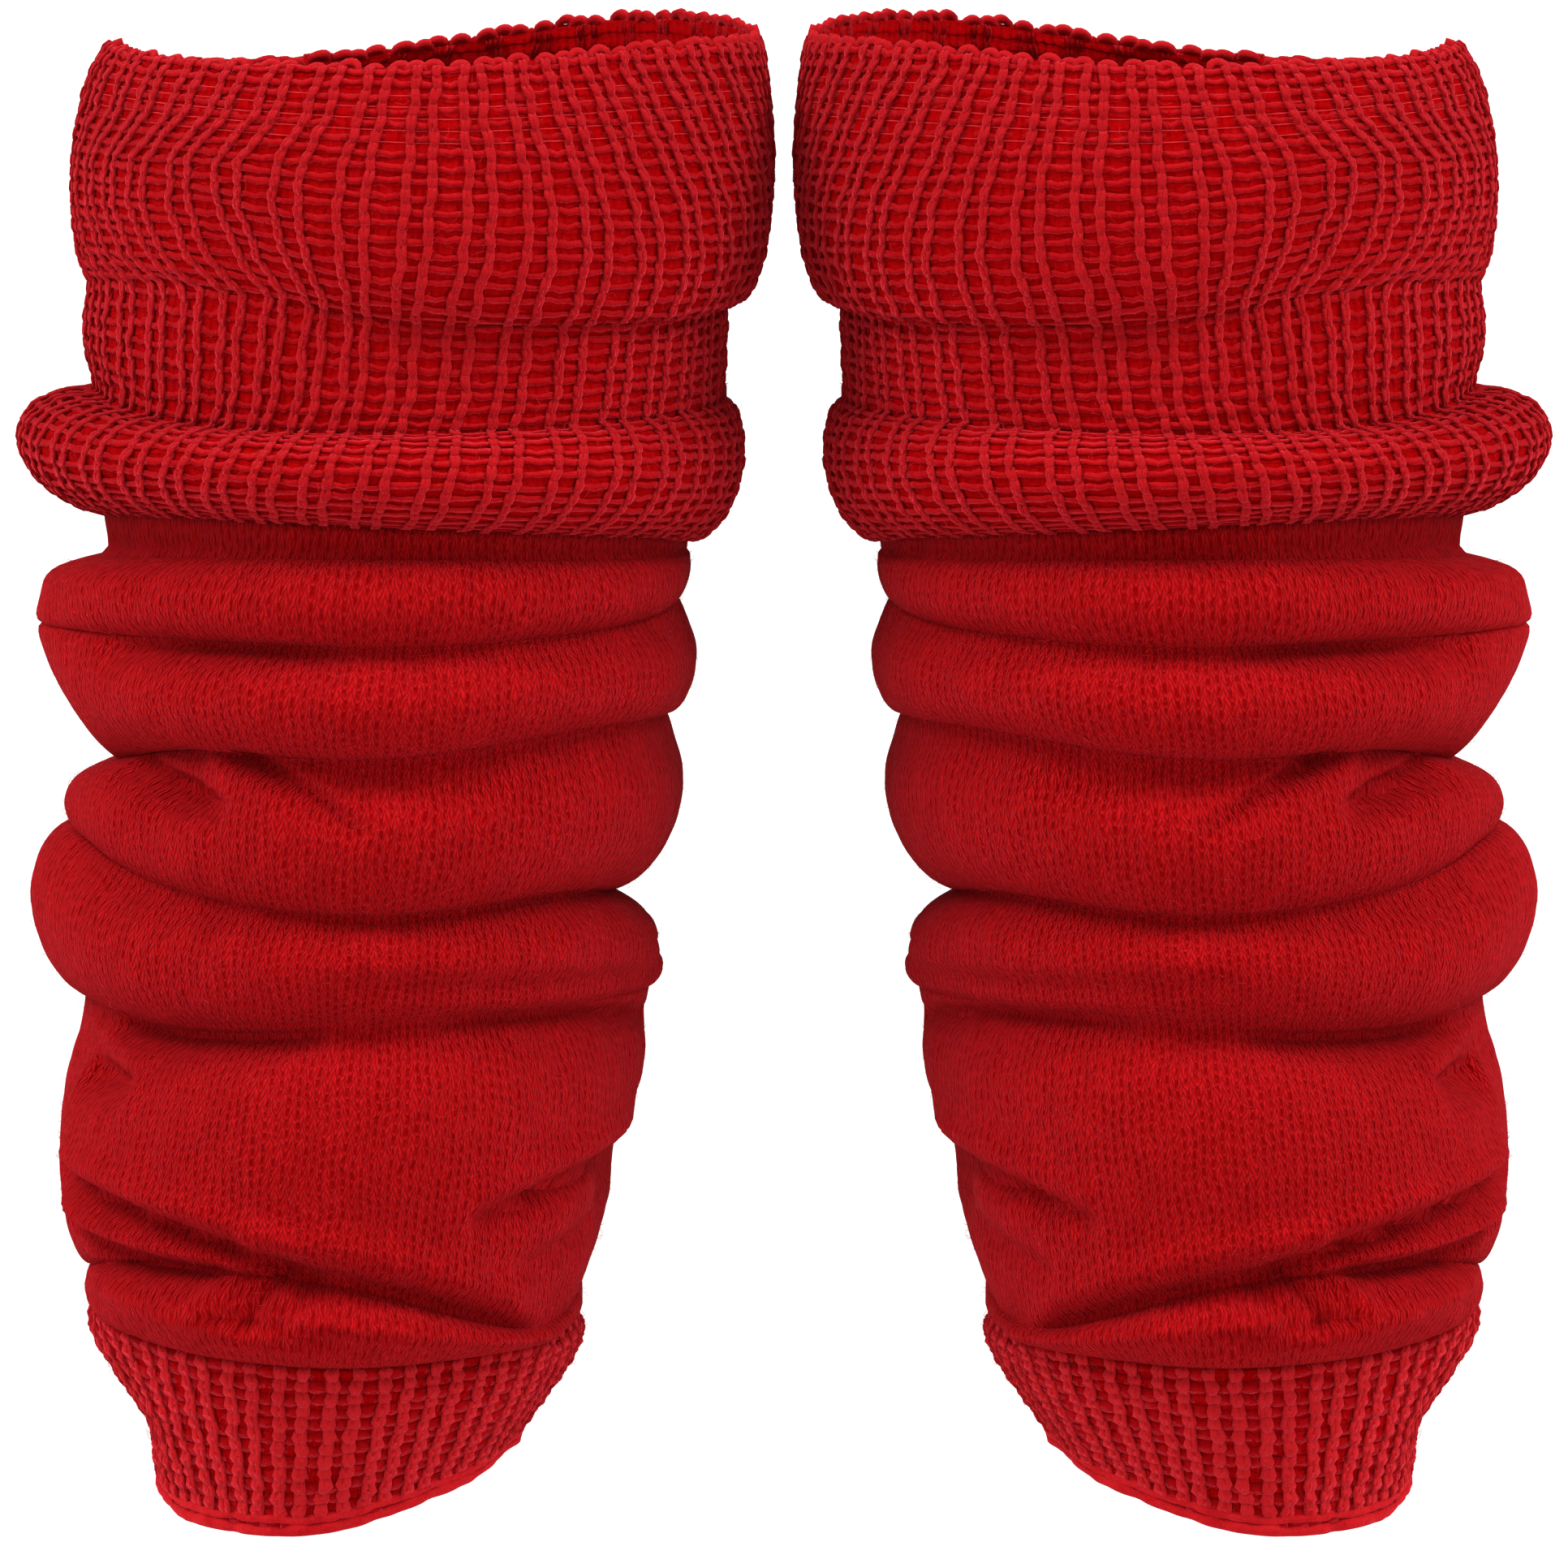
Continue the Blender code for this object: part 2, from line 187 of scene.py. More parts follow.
# How far the cloth draws back just under the crease above a fold, in millimetres. The fold above hangs over.
UNDERCUT = {
    "neck": Around(0.5, 1, 1, 0.8, 0.5, 0.8),
    "second_fold": Around(0, 3.4, 4, 2.6, 0.8, 3),
    "third_fold": Around(1, 3.6, 4.2, 3.4, 1.4, 4),
    "fourth_fold": Around(0.6, 4.8, 5.6, 4.6, 1.4, 4.6),
    "drape": Around(1, 3.6, 4.4, 3.6, 1.4, 4),
    "tuck": Around(0.6, 1, 1, 1, 1, 2.6),
}
UNDERCUT_REACH = 6.0 * MM  # distance below the crease at which it is deepest

# Slow lumps of hand-pushed cloth: waves round the leg, waves for each metre down it, start and height in mm
Lump = namedtuple("Lump", "round_leg down_leg start height")
LUMPS = [
    Lump(3, 22, 0.4, 0.35),
    Lump(5, -31, 1.9, 0.3),
    Lump(8, 47, 3.3, 0.22),
    Lump(11, -64, 5.2, 0.18),
    Lump(17, 83, 2.6, 0.14),
    Lump(29, -140, 0.9, 0.1),
    Lump(43, 310, 4.1, 0.09),
    Lump(61, -520, 2.2, 0.07),
]

# How far the wales of the cuff lean, in millimetres toward the inner side, at some heights
WALE_LEAN = {
    13: Around(0, 0, 0, -8, -10, -4),
    2: Around(0, -1.5, 0, -3, -4, -2),
    -9: Around(-5, -13, 1, 2, 4, 1),
    -19: Around(-6, -13, 1, 8, 12, 2),
    -31: Around(-4, -6, 1, 12, 16, 4),
    -38: Around(0, 3, 0, 12, 14, 4),
    -62: Around(0, 3, 0, 10, 10, 4),
    -75: Around(-3, 0, -3, 8, 10, 2),
    -88: Around(-7, -5, -5, 5, 8, 0),
    -93: Around(-8, -7, -6, 3, 6, 0),
}

# A knitted piece: its folds, the height of a course, the columns round its shell, the shell's rows to a
# course, and how many of its outer columns there are for each inner one
Piece = namedtuple("Piece", "name folds course columns rows_per_course inner_share")
TOP_RIB = Piece("top_rib", CUFF_FOLDS, 3.25 * MM, 240, 1, 3)
BODY = Piece("body", BODY_FOLDS, 2.7 * MM, 400, 2, 4)
ANKLE_RIB = Piece("ankle_rib", ANKLE_FOLDS, 2.8 * MM, 120, 1, 3)

# A knit stitch: its yarn's radius, how far its two legs stand apart at the foot and at the arms, how far its
# chain drifts, how far foot, crest and arms stand over the cloth, and the points along a leg
Stitch = namedtuple("Stitch", "radius foot_apart arms_apart drift foot_lift crest_lift arm_lift steps")
CUFF_STITCH = Stitch(0.78 * MM, 0.12 * MM, 0.6 * MM, 0.42 * MM, -0.25 * MM, 0.3 * MM, -0.45 * MM, 4)
ANKLE_STITCH = Stitch(1.2 * MM, 0.25 * MM, 0.75 * MM, 0.5 * MM, -0.4 * MM, 0.25 * MM, -0.6 * MM, 3)
STITCH_FOOT = 1.12  # courses down to a stitch's foot
STITCH_HEIGHT = 1.42  # courses from there up to its arms

# A rib: its piece, repeats round the leg, places of a repeat's two chains as a share of it, and stitch
Rib = namedtuple("Rib", "piece repeats chains stitch")
CUFF = Rib(TOP_RIB, 40, (0.0, 0.4), CUFF_STITCH)
CUFF_INSIDE = CUFF._replace(chains=(0.58, 0.82))
INNER_COURSES = 8  # courses of chains inside the rim
ANKLE = Rib(ANKLE_RIB, 30, (0.0, 0.46), ANKLE_STITCH)

# Yarn across a gap: gap 0 is between a repeat's two chains, gap 1 from there to the next repeat. The wave
# lists how far each point of its path lies above its course.
GapRow = namedtuple("GapRow", "gap wave lift radius")
KNIT_BAR = GapRow(0, (0.06, -0.04, -0.04, 0.06), -0.6 * MM, 0.82 * MM)
PURL_ROW = GapRow(1, (0.0, 0.09, -0.02, 0.1, 0.0), -0.7 * MM, 0.85 * MM)
LOOSE_PURL_ROW = PURL_ROW._replace(lift=-1.05 * MM, radius=0.75 * MM)
LOOSE_COURSES = (2, 6)  # first one and end, along the elastic rows
ANKLE_BARS = [GapRow(gap, (0.06, -0.06, 0.06), -1.2 * MM, 1.5 * MM) for gap in (0, 1)]

# Depth of the ribs' grounds under their face, and the rows of loops that join the ribs to the body
GROUND_DEPTH = 0.65 * MM
ANKLE_GROUND_DEPTH = 0.55 * MM
SEAM_RADIUS = 2.0 * MM
CUFF_SEAM_LIFT = -2.1 * MM
ANKLE_SEAM_LIFT = -2.5 * MM

ELASTIC_COURSES = (2.3, 3.15, 4.0, 4.85, 5.7)
ELASTIC_LIFT = -0.62 * MM
ELASTIC_RADIUS = 0.17 * MM
RIM_REACH = 75.0 * MM
RIM_LOOPS = 92
LOOP_WIDTH = 2.5 * MM
LOOP_HEIGHT = 1.2 * MM
LOOP_RADIUS = 1.15 * MM
LOOP_LIFT = -1.5 * MM
LOOP_FOOT = 1.4 * MM  # how deep a loop's feet go
HEM_STEPS = 240
HEM_STITCHES = 76
BAND_LIFT = -0.75 * MM
BAND_RADIUS = 1.25 * MM
ROLL_LIFT = -0.6 * MM
ROLL_RADIUS = 1.5 * MM
FIBRES = {"top_rib": (1100, 11), "body": (1600, 12), "ankle_rib": (350, 13)}  # number and seed
FIBRE_RADIUS = 0.045 * MM
FIBRE_REACH = 70.0 * MM
RING_STEPS = 160  # points along a ring of yarn round the leg

# Size of the tables that keep the courses of a fold even, and how much a shell's rows crowd toward creases
TABLE_STEPS = 64
TABLE_WAYS = 48
CREASE_CROWDING = 0.7


def around(row, azimuth):
    """A smooth closed curve through a row's values at every eighth of a turn from the inner side, with the
    two unnamed ones midway: on each eighth, the cubic whose slopes at its ends are half the difference of the
    neighbours."""
    front = [row.inner, row.front_inner, row.front, row.front_outer, row.outer]
    back = [(row.outer + row.back) / 2, row.back, (row.back + row.inner) / 2]
    values = np.array(front + back) * MM
    place = np.mod(azimuth, 2 * math.pi) / (math.pi / 4)
    start = np.floor(place).astype(int)
    t = place - start
    before, here, there, after = (values[(start + k) % 8] for k in (-1, 0, 1, 2))
    slope_here = (there - before) / 2
    slope_there = (after - here) / 2
    return (
        here * (2 * t**3 - 3 * t**2 + 1)
        + slope_here * (t**3 - 2 * t**2 + t)
        + there * (3 * t**2 - 2 * t**3)
        + slope_there * (t**3 - t**2)
    )


def dome(fold, azimuth, progress):
    """Height and reach on a fold, with progress 0 at the crease above and 1 at the one below: half an ellipse
    where the fold is firm, a cosine wave where it is soft, with its crest moved down by the sag."""
    firm_path = (1 - np.cos(math.pi * progress)) / 2
    path = fold.firm * firm_path + (1 - fold.firm) * progress
    wave = np.sin(math.pi * progress)
    bulge = fold.firm * wave + (1 - fold.firm) * wave**2
    toward_inner = (1 + np.cos(azimuth)) / 2
    sag = fold.sag_outer + (fold.sag_inner - fold.sag_outer) * toward_inner
    top_z = around(CREASE_HEIGHT[fold.above], azimuth)
    low_z = around(CREASE_HEIGHT[fold.below], azimuth)
    top_r = around(CREASE_REACH[fold.above], azimuth)
    low_r = around(CREASE_REACH[fold.below], azimuth)
    swell = around(FOLD_SWELL[fold.name], azimuth)
    height = top_z + (low_z - top_z) * (path + sag * bulge)
    if fold.above == "rim":
        behind = np.clip(-np.sin(azimuth), 0.0, 1.0)
        height = height + RIM_WAVE * behind * 2 * np.cos(azimuth) * (1 - progress) ** 2
    reach = top_r + (low_r - top_r) * path + swell * bulge
    return height, reach


def turned(azimuth, centre):
    """The turn from a centre in degrees, within half a turn each way, in radians."""
    return np.mod(azimuth - math.radians(centre) + math.pi, 2 * math.pi) - math.pi


def hollow_depth(azimuth, height, reach):
    """Sum of the local hollows: each is a bell in its own turned length and width."""
    depth = np.zeros_like(height)
    for h in HOLLOWS:
        sideways = -turned(azimuth, h.azimuth) * reach
        down = h.height * MM - height
        fall = math.radians(h.fall)
        along = sideways * math.cos(fall) + down * math.sin(fall)
        across = down * math.cos(fall) - sideways * math.sin(fall)
        bell = np.exp(-((along / (h.length * MM)) ** 2) - (across / (h.width * MM)) ** 2)
        depth += h.depth * MM * bell
    return depth


def crease_depth(azimuth, height, reach):
    """Sum of the finer creases: each is a bell across a bowed line, and fades out at the line's ends."""
    depth = np.zeros_like(height)
    for c in CREASES:
        sideways = turned(azimuth, c.from_azimuth) * reach
        up = height - c.from_height * MM
        run = math.radians(c.to_azimuth - c.from_azimuth) * reach
        rise = (c.to_height - c.from_height) * MM
        share = np.clip((sideways * run + up * rise) / (run**2 + rise**2), 0.0, 1.0)
        arch = 4 * share * (1 - share)
        over = up - share * rise - c.bow * MM * arch
        width = np.where(over > 0, c.above, c.below) * MM
        off_line = np.hypot(sideways - share * run, over)
        depth += c.depth * MM * np.sqrt(arch) * np.exp(-((off_line / width) ** 2))
    return depth


def undercut_depth(fold, azimuth, distance):
    """How far a fold draws back at a distance below the crease above it: it rises to its full depth at the
    undercut's reach and then fades, as x times e to the power of (1 - x squared) / 2."""
    share = distance / UNDERCUT_REACH
    return around(UNDERCUT[fold.name], azimuth) * share * np.exp((1 - share**2) / 2)


def lump_height(azimuth, height):
    """Sum of slow waves that run round and down the leg."""
    waves = (
        lump.height * MM * np.sin(lump.round_leg * azimuth + lump.down_leg * height + lump.start)
        for lump in LUMPS
    )
    return sum(waves)


def step_lengths(fold, azimuth, steps):
    """Distances between neighbouring points at even steps of progress down a fold, at some directions."""
    azimuth = azimuth[None, :]
    progress = np.linspace(0, 1, steps + 1)[:, None]
    height, reach = dome(fold, azimuth + 0 * progress, progress + 0 * azimuth)
    return np.hypot(np.diff(height, axis=0), np.diff(reach, axis=0))


def length_shares(fold):
    """The share of a fold's own length that lies above each step of progress, at the table's directions: the
    sums of the steps' lengths, over their total."""
    lengths = step_lengths(fold, np.linspace(0, 2 * math.pi, TABLE_WAYS + 1), TABLE_STEPS)
    above = np.concatenate([np.zeros((1, TABLE_WAYS + 1)), np.cumsum(lengths, axis=0)])
    return above / above[-1]


def even_progress(fold):
    """Progress at even shares of a fold's length, at the table's directions, so its courses are equal."""
    even = np.linspace(0, 1, TABLE_STEPS + 1)
    return np.stack([np.interp(even, shares, even) for shares in length_shares(fold).T], axis=-1)


EVEN_PROGRESS = {fold.name: even_progress(fold) for fold in CUFF_FOLDS + BODY_FOLDS + ANKLE_FOLDS}


def progress_at(fold, azimuth, share):
    """Progress at a direction and a share of the fold's length, blended from the table's nearest four."""
    table = EVEN_PROGRESS[fold.name]
    across = np.mod(azimuth, 2 * math.pi) / (2 * math.pi) * TABLE_WAYS
    down = np.clip(share, 0.0, 1.0) * TABLE_STEPS
    i = np.minimum(np.floor(down).astype(int), TABLE_STEPS - 1)
    j = np.minimum(np.floor(across).astype(int), TABLE_WAYS - 1)
    u = down - i
    v = across - j
    above = table[i, j] * (1 - v) + table[i, j + 1] * v
    below = table[i + 1, j] * (1 - v) + table[i + 1, j + 1] * v
    return above * (1 - u) + below * u


def courses_of(piece):
    """The course at which each fold ends: its mean length down the leg over a course's height, rounded."""
    azimuth = np.linspace(0, 2 * math.pi, TABLE_WAYS, endpoint=False)
    lengths = [step_lengths(fold, azimuth, TABLE_STEPS // 2).sum(axis=0).mean() for fold in piece.folds]
    return np.cumsum([max(1, round(length / piece.course)) for length in lengths])


COURSE_ENDS = {piece.name: courses_of(piece) for piece in (TOP_RIB, BODY, ANKLE_RIB)}


def shell_courses(piece):
    """Courses of a shell's rows: even steps of course blended with even steps of progress, which crowd toward
    the creases, where the cloth bends most."""
    rows = []
    first = 0
    even = np.linspace(0, 1, TABLE_STEPS + 1)
    for fold, last in zip(piece.folds, COURSE_ENDS[piece.name]):
        count = round((last - first) * piece.rows_per_course)
        progress = np.arange(count) / count
        share = np.interp(progress, even, length_shares(fold).mean(axis=1))
        share = CREASE_CROWDING * share + (1 - CREASE_CROWDING) * progress
        rows.append(first + (last - first) * share)
        first = last
    return np.concatenate(rows + [[float(first)]])


def profile(piece, azimuth, course):
    """Height and reach of the cloth at a direction and a course: the fold's dome at an even share of its
    length, less its undercut, the hollows and the creases, plus the lumps."""
    ends = COURSE_ENDS[piece.name]
    course = np.clip(course, 0, ends[-1])
    azimuth, course = np.broadcast_arrays(azimuth, course)
    height = np.zeros(course.shape)
    reach = np.zeros(course.shape)
    first = 0
    for fold, last in zip(piece.folds, ends):
        here = (course >= first) & (course <= last)
        progress = progress_at(fold, azimuth[here], (course[here] - first) / (last - first))
        height[here], reach[here] = dome(fold, azimuth[here], progress)
        if fold.name in UNDERCUT:
            distance = (course[here] - first) * piece.course
            reach[here] -= undercut_depth(fold, azimuth[here], distance)
        first = last
    reach = reach - hollow_depth(azimuth, height, reach)
    reach = reach - crease_depth(azimuth, height, reach)
    reach = reach + lump_height(azimuth, height)
    return height, reach


def cloth(piece, azimuth, course):
    """Points of the cloth: its reach times the cosine and sine of the direction, from a leaning axis."""
    height, reach = profile(piece, azimuth, course)
    axis_x = -LEG_SPACING / 2 + LEG_LEAN * height
    return np.stack([axis_x + reach * np.cos(azimuth), -reach * np.sin(azimuth), height], axis=-1)


def unit(vectors):
    """Vectors of length 1."""
    return vectors / np.maximum(np.linalg.norm(vectors, axis=-1, keepdims=True), 1e-12)


def lifted(piece, azimuth, course, lift):
    """Points at a lift over the cloth, and its outward directions there, square to small steps along it."""
    turn_step = 0.004
    down_step = 0.08
    azimuth = azimuth + 0 * course
    course = np.clip(course + 0 * azimuth, 0, COURSE_ENDS[piece.name][-1])
    point = cloth(piece, azimuth, course)
    along = cloth(piece, azimuth + turn_step, course) - cloth(piece, azimuth - turn_step, course)
    down = cloth(piece, azimuth, course + down_step) - cloth(piece, azimuth, course - down_step)
    outward = unit(np.cross(along, down))
    lift = np.asarray(lift) + 0 * azimuth
    return point + lift[..., None] * outward, outward


def wale_azimuth(piece, azimuth, course):
    """Where a wale that starts at a direction on the rim has leaned to at a course of the cuff: the direction
    less the lean, blended from the two nearest heights of its table, over the reach."""
    if piece is not TOP_RIB:
        return azimuth + 0 * course
    height, reach = profile(piece, azimuth, course)
    levels = np.array(sorted(WALE_LEAN))
    leans = np.array([around(WALE_LEAN[level], azimuth + 0 * course) for level in levels])
    place = np.clip(np.interp(height, levels * MM, np.arange(len(levels))), 0, len(levels) - 1.001)
    low = np.floor(place).astype(int)
    share = place - low
    here = np.take_along_axis(leans, low[None], axis=0)[0]
    there = np.take_along_axis(leans, low[None] + 1, axis=0)[0]
    return azimuth - (here + (there - here) * share) / reach


# Meshes. Points and faces are for the -X side; the other one is their mirror image.


def add_mesh(name, finish, points, face_groups, stitch_map=None):
    """A smooth mesh object. Each face group is an array with a row of point numbers for each face."""
    mesh = bpy.data.meshes.new(name)
    corners = np.concatenate([group.ravel() for group in face_groups])
    sizes = np.concatenate([np.full(len(group), group.shape[1]) for group in face_groups])
    mesh.vertices.add(len(points))
    mesh.vertices.foreach_set("co", points.astype(np.float32).ravel())
    mesh.loops.add(len(corners))
    mesh.loops.foreach_set("vertex_index", corners.astype(np.int32))
    mesh.polygons.add(len(sizes))
    mesh.polygons.foreach_set("loop_start", np.concatenate([[0], np.cumsum(sizes)[:-1]]).astype(np.int32))
    mesh.update(calc_edges=True)
    mesh.polygons.foreach_set("use_smooth", np.ones(len(sizes), dtype=bool))
    if stitch_map is not None:
        layer = mesh.uv_layers.new(name="Stitches")
        corners = np.concatenate([group.reshape(-1, 2) for group in stitch_map])
        layer.data.foreach_set("uv", corners.astype(np.float32).ravel())
    mesh.materials.append(finish)
    piece = bpy.data.objects.new(name, mesh)
    bpy.context.scene.collection.objects.link(piece)
    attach(piece, "root")
    return piece


def add_pair(name, finish, points, face_groups, stitch_map=None):
    """The piece on the -X side and its mirror image, whose faces run the other way round."""
    left = add_mesh("left_" + name, finish, points, face_groups, stitch_map)
    turned_groups = [group[:, ::-1] for group in face_groups]
    turned_map = stitch_map and [group[:, ::-1] for group in stitch_map]
    mirror = np.array([-1.0, 1.0, 1.0])
    right = add_mesh("right_" + name, finish, points * mirror, turned_groups, turned_map)
    return left, right


def grid(course, columns, start, outward):
    """Quads of a grid that closes round the leg, and the wale and course at each of their corners."""
    row = np.arange(len(course) - 1)[:, None] * columns + start
    column = np.arange(columns)[None, :]
    after = (column + 1) % columns
    quads = np.stack([row + column, row + after, row + columns + after, row + columns + column], axis=-1)
    both = np.stack(np.meshgrid(np.arange(columns + 1) * BODY_WALES / columns, course), axis=-1)
    places = np.stack([both[:-1, :-1], both[:-1, 1:], both[1:, 1:], both[1:, :-1]], axis=2)
    way = 1 if outward else -1
    return quads.reshape(-1, 4)[:, ::way], places.reshape(-1, 4, 2)[:, ::way]


def end_faces(outer_start, inner_start, inner_columns, split, top):
    """Faces that close one end of a wall whose outer ring has split points for each one of the inner ring."""
    j = np.arange(inner_columns)
    k = (j + 1) % inner_columns
    outer = [outer_start + split * j + s for s in range(split)] + [outer_start + split * k]
    faces = np.stack(outer + [inner_start + k, inner_start + j], axis=-1)
    return faces[:, ::-1] if top else faces


def shell(piece, depth):
    """A closed knitted wall: an outer grid at a depth under the cloth's face, a plainer inner one a wall's
    thickness further in, and the two ends. Its map holds wales across and courses down. Returns points, faces
    and map."""
    azimuth = np.arange(piece.columns) * 2 * math.pi / piece.columns
    course = shell_courses(piece)
    rows = len(course)
    outer, _ = lifted(piece, azimuth[None, :], course[:, None], -depth)
    split = piece.inner_share
    inner_columns = piece.columns // split
    inner_rows = max(8, rows // 3)
    inner_course = np.interp(np.linspace(0, rows - 1, inner_rows), np.arange(rows), course)
    inner, _ = lifted(piece, azimuth[None, ::split], inner_course[:, None], -depth - WALL)
    points = np.concatenate([outer.reshape(-1, 3), inner.reshape(-1, 3)])
    inner_start = rows * piece.columns
    last_outer = inner_start - piece.columns
    last_inner = inner_start + (inner_rows - 1) * inner_columns
    top_end = end_faces(0, inner_start, inner_columns, split, top=True)
    low_end = end_faces(last_outer, last_inner, inner_columns, split, top=False)
    outer_quads, outer_map = grid(course, piece.columns, 0, outward=True)
    inner_quads, inner_map = grid(inner_course, inner_columns, inner_start, outward=False)
    top_map = np.zeros((*top_end.shape, 2))
    low_map = np.full((*low_end.shape, 2), course[-1])
    return points, [outer_quads, inner_quads, top_end, low_end], [outer_map, inner_map, top_map, low_map]


def yarn_skin(path, tangent, outward, radius, turn):
    """Points of a tube round a path: for each turn, the radius times the turn's cosine out of the cloth and
    its sine to the side, both square to the path."""
    side = unit(np.cross(tangent, outward))
    up = np.cross(side, tangent)
    ring = np.cos(turn)[:, None] * up[..., None, :] + np.sin(turn)[:, None] * side[..., None, :]
    radius = np.broadcast_to(radius, path.shape[:-1])
    return path[..., None, :] + radius[..., None, None] * ring


def skin_quads(here, there):
    """Quads from rings of point numbers to the rings that follow them."""
    corners = [here, np.roll(here, -1, axis=-1), np.roll(there, -1, axis=-1), there]
    return np.stack(corners, axis=-1).reshape(-1, 4)


def tubes(paths, outward, radius, sides):
    """Closed yarn tubes along many paths at once, with a flat side out of the cloth and a cap at each end.
    Returns points and faces."""
    turn = 2 * math.pi * (np.arange(sides) + 0.5) / sides
    points = yarn_skin(paths, unit(np.gradient(paths, axis=1)), outward, radius, turn)
    number = np.arange(points.size // 3).reshape(points.shape[:3])
    quads = skin_quads(number[:, :-1], number[:, 1:])
    return points.reshape(-1, 3), [quads, number[:, 0, ::-1], number[:, -1, :]]


def laid_yarn(piece, azimuth, course, lift, radius, sides=3):
    """Yarn tubes at a lift over the cloth. The last axis of the arrays runs along each path."""
    points, outward = lifted(piece, azimuth, course, lift)
    steps = azimuth.shape[-1]
    thick = (radius + 0 * azimuth).reshape(-1, steps)
    return tubes(points.reshape(-1, steps, 3), outward.reshape(-1, steps, 3), thick, sides)


def ring_tube(piece, course, lift, radius, sides, steps=RING_STEPS):
    """One closed ring of yarn round the leg at a course. Course, lift and radius may change round it."""
    azimuth = np.arange(steps) * 2 * math.pi / steps
    centre, outward = lifted(piece, azimuth, course, lift)
    tangent = unit(np.roll(centre, -1, axis=0) - np.roll(centre, 1, axis=0))
    turn = 2 * math.pi * np.arange(sides) / sides
    points = yarn_skin(centre, tangent, outward, radius, turn)
    number = np.arange(steps * sides).reshape(steps, sides)
    return points.reshape(-1, 3), [skin_quads(number, np.roll(number, -1, axis=0))]


def joined(parts):
    """One set of points and faces from several."""
    points = []
    groups = []
    start = 0
    for part_points, part_groups in parts:
        points.append(part_points)
        groups += [group + start for group in part_groups]
        start += len(part_points)
    return np.concatenate(points), groups


# Yarns. The factors inside their sines only make neighbouring stitches differ.


def chain_drift(chain, course, amount):
    """How far a chain wanders sideways at a course: two waves with a start of its own for each chain."""
    slow = np.sin(2 * math.pi * (course / 3.7 + 0.618 * chain))
    quick = np.sin(2 * math.pi * (course / 1.9 + 0.381 * chain + 0.2))
    return amount * (0.65 * slow + 0.35 * quick)


def chain_azimuth(rib, number, course):
    """Direction and reach of a rib's chain of some number at a course, with its lean and its drift."""
    repeat, chain = np.divmod(number, len(rib.chains))
    start = (repeat + np.array(rib.chains)[chain]) * 2 * math.pi / rib.repeats
    course = course + 0 * start
    leaned = wale_azimuth(rib.piece, start, course)
    _, reach = profile(rib.piece, leaned, course)
    return leaned + chain_drift(number, course, rib.stitch.drift) / reach, reach


def stitch_chains(rib, courses, face=0.0):
    """Chains of knit stitches. Each stitch is a V of two yarn legs: from the foot, up and apart, first over
    the stitch below and then under the one above. How far apart and how high they are follow sines from foot
    to arm. A face below zero puts them on the wall's inner side."""
    stitch = rib.stitch
    number = np.arange(rib.repeats * len(rib.chains))[:, None, None, None]
    course = np.arange(courses)[None, :, None, None]
    leg = np.array([-1.0, 1.0])[None, None, :, None]
    t = np.linspace(0, 1, stitch.steps)[None, None, None, :]
    level = course + STITCH_FOOT - STITCH_HEIGHT * t + 0.06 * np.sin(2.3 * number + 1.7 * course)
    azimuth, reach = chain_azimuth(rib, number, level)
    apart = stitch.foot_apart + (stitch.arms_apart - stitch.foot_apart) * np.sin(math.pi * t / 2)
    apart = apart * (1 + 0.18 * np.sin(3.1 * number + 4.3 * course))
    azimuth = azimuth + leg * apart / reach
    rise = stitch.foot_lift * (1 - t) + stitch.arm_lift * t
    lift = rise + stitch.crest_lift * np.sin(math.pi * t) ** 0.8
    lift = lift + 0.14 * MM * np.sin(1.3 * number + 2.9 * course)
    lift = face - lift if face < 0 else lift
    thick = stitch.radius * (0.5 + 0.6 * np.sin(math.pi * t))
    return laid_yarn(rib.piece, azimuth, level, lift, thick)


def gap_rows(rib, row, courses):
    """Yarn that crosses from one chain to the next at each course. Its path follows the row's wave about the
    middle of the course, and rises a little at its two ends, where it joins the chains."""
    repeat = np.arange(rib.repeats)[:, None, None]
    course = courses[None, :, None]
    wave = np.array(row.wave)[None, None, :]
    t = np.linspace(0, 1, len(row.wave))[None, None, :]
    level = course + 0.5 - wave * (1 + 0.5 * np.sin(2.7 * repeat + 1.3 * course))
    level = level + 0.12 * np.sin(1.9 * repeat + 2.1 * course + 1.6 * t)
    chains = rib.repeats * len(rib.chains)
    number = repeat * len(rib.chains) + row.gap
    near, _ = chain_azimuth(rib, number, level)
    far, _ = chain_azimuth(rib, np.mod(number + 1, chains), level)
    far = far + 2 * math.pi * (number + 1 >= chains)
    azimuth = near + (far - near) * t
    lift = row.lift + 0.2 * MM * np.cos(math.pi * t) ** 2
    lift = lift + 0.12 * MM * np.sin(3.3 * repeat + 1.7 * course)
    thick = row.radius * (1 + 0.18 * np.sin(4.1 * repeat + 2.3 * course + 3.0 * t))
    return laid_yarn(rib.piece, azimuth, level, lift, thick)


